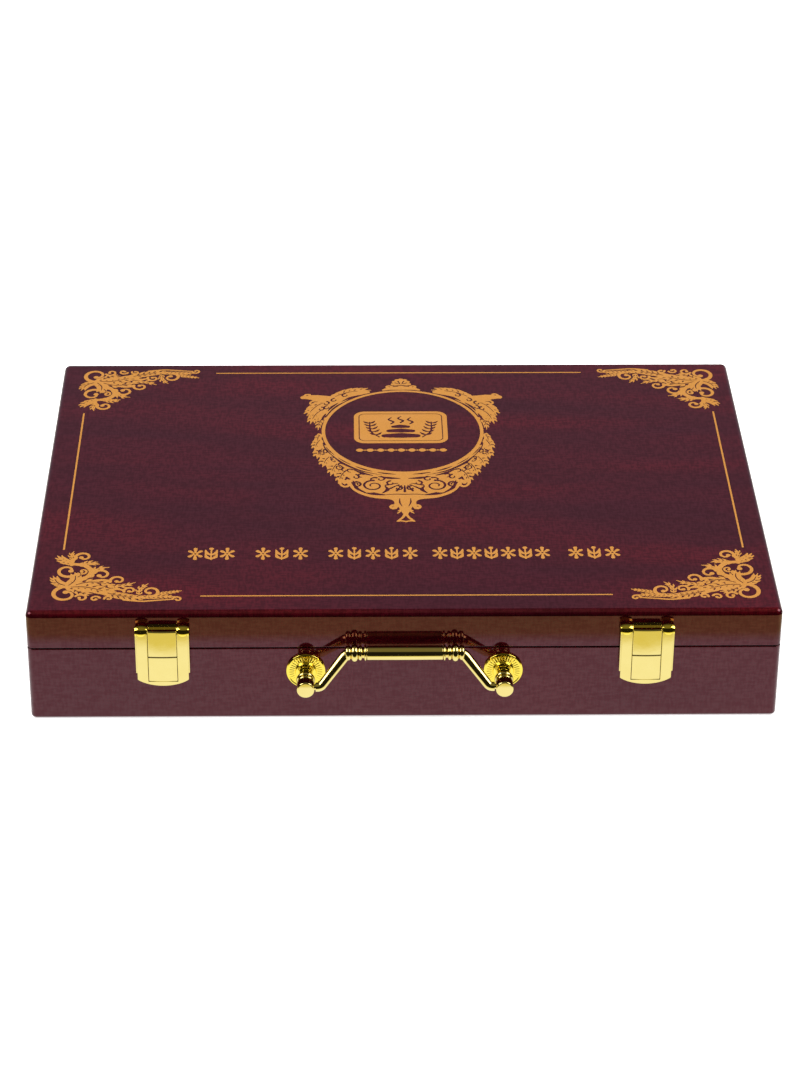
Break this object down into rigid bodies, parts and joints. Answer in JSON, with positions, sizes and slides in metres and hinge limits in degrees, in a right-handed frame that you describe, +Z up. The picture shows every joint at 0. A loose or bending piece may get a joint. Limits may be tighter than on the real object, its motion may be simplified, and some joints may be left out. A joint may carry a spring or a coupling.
{
  "type": "hot stone heater",
  "caption": "Briefcase-style lacquered wooden case that warms massage stones, with a hinged lid, swing-down catches and a bail handle on the front.",
  "frame": {"origin": "centre of the case's flat underside", "axes": "+X to the right along the case's long side as seen from the handle side, +Y to the hinge side at the back, +Z up"},
  "size_m": [0.4, 0.315, 0.066],
  "materials": {
    "lacquered_wood": "deep red-brown mahogany under a clear gloss lacquer",
    "plain_wood": "bare plywood",
    "gold_metal": "bright polished gold plating",
    "steel": "zinc-plated steel",
    "insulation": "pressed mineral-fibre board",
    "silicone": "heat-resistant silicone sheet",
    "aluminium_sheet": "satin drawn sheet",
    "felt": "wool felt",
    "velvet": "short-pile velvet over foam",
    "dark_plastic": "fine moulded texture",
    "button_plastic": "satin moulded caps",
    "window": "smoked acrylic",
    "lamp": "tinted epoxy lens",
    "board": "glass-epoxy laminate",
    "lead_insulation": "silicone wire insulation"
  },
  "bodies": {
    "base": {"base_back_wall": "lacquered_wood", "base_bottom_panel": "plain_wood", "base_front_wall": "lacquered_wood", "base_left_wall": "lacquered_wood", "base_right_wall": "lacquered_wood", "board_screws": "steel", "compartment_divider": "plain_wood", "control_fascia": "dark_plastic", "controller_board": "board", "display_module": "dark_plastic", "display_window": "window", "fascia_corner_blocks": "plain_wood", "fascia_screws": "steel", "handle_posts": "gold_metal", "handle_rosettes": "gold_metal", "handle_screws": "steel", "heater_leads": "lead_insulation", "heater_relay": "dark_plastic", "heating_film": "silicone", "hinge_base_screws": "gold_metal", "hinge_left_base_leaf": "gold_metal", "hinge_pins": "gold_metal", "hinge_right_base_leaf": "gold_metal", "indicator_lamp": "lamp", "inlet_contacts": "steel", "inlet_screws": "steel", "insulation_board": "insulation", "latch_catch_nails": "gold_metal", "latch_left_catch_plate": "gold_metal", "latch_right_catch_plate": "gold_metal", "mains_leads": "lead_insulation", "power_inlet": "dark_plastic", "sensor_leads": "lead_insulation", "stone_tray": "aluminium_sheet", "tact_switches": "dark_plastic", "temperature_sensor": "steel", "terminal_blocks": "board", "thermal_cutoff": "dark_plastic", "tray_liner": "felt"},
    "handle": {"handle_bail": "gold_metal", "handle_grip": "gold_metal"},
    "lid": {"hinge_left_lid_leaf": "gold_metal", "hinge_lid_screws": "gold_metal", "hinge_right_lid_leaf": "gold_metal", "latch_left_lid_plate": "gold_metal", "latch_lid_nails": "gold_metal", "latch_pins": "gold_metal", "latch_right_lid_plate": "gold_metal", "lid_back_wall": "lacquered_wood", "lid_front_wall": "lacquered_wood", "lid_left_wall": "lacquered_wood", "lid_lining": "velvet", "lid_right_wall": "lacquered_wood", "lid_top_panel": "lacquered_wood"},
    "hasp_left": {"latch_left_hasp": "gold_metal"},
    "hasp_right": {"latch_right_hasp": "gold_metal"},
    "power_key": {"power_button": "button_plastic"},
    "down_key": {"temp_down_button": "button_plastic"},
    "up_key": {"temp_up_button": "button_plastic"}
  },
  "joints": [
    {"name": "lid_hinge", "type": "hinge", "parent": "base", "child": "lid", "pos_m": [0, 0.1474, 0.0438], "axis": [-1, 0, 0], "range_deg": [0, 100]},
    {"name": "handle_swing", "type": "hinge", "parent": "base", "child": "handle", "pos_m": [0, -0.1615, 0.03], "axis": [1, 0, 0], "range_deg": [0, 213]},
    {"name": "latch_left_swing", "type": "hinge", "parent": "lid", "child": "hasp_left", "pos_m": [-0.128, -0.148, 0.0566], "axis": [-1, 0, 0], "range_deg": [0, 120]},
    {"name": "latch_right_swing", "type": "hinge", "parent": "lid", "child": "hasp_right", "pos_m": [0.128, -0.148, 0.0566], "axis": [-1, 0, 0], "range_deg": [0, 120]},
    {"name": "power_press", "type": "slide", "parent": "base", "child": "power_key", "axis": [0, 0, -1], "range_m": [0, 0.0008], "stiffness_N_per_m": 900, "springref_m": -0.0008},
    {"name": "temp_up_press", "type": "slide", "parent": "base", "child": "up_key", "axis": [0, 0, -1], "range_m": [0, 0.0008], "stiffness_N_per_m": 900, "springref_m": -0.0008},
    {"name": "temp_down_press", "type": "slide", "parent": "base", "child": "down_key", "axis": [0, 0, -1], "range_m": [0, 0.0008], "stiffness_N_per_m": 900, "springref_m": -0.0008}
  ]
}
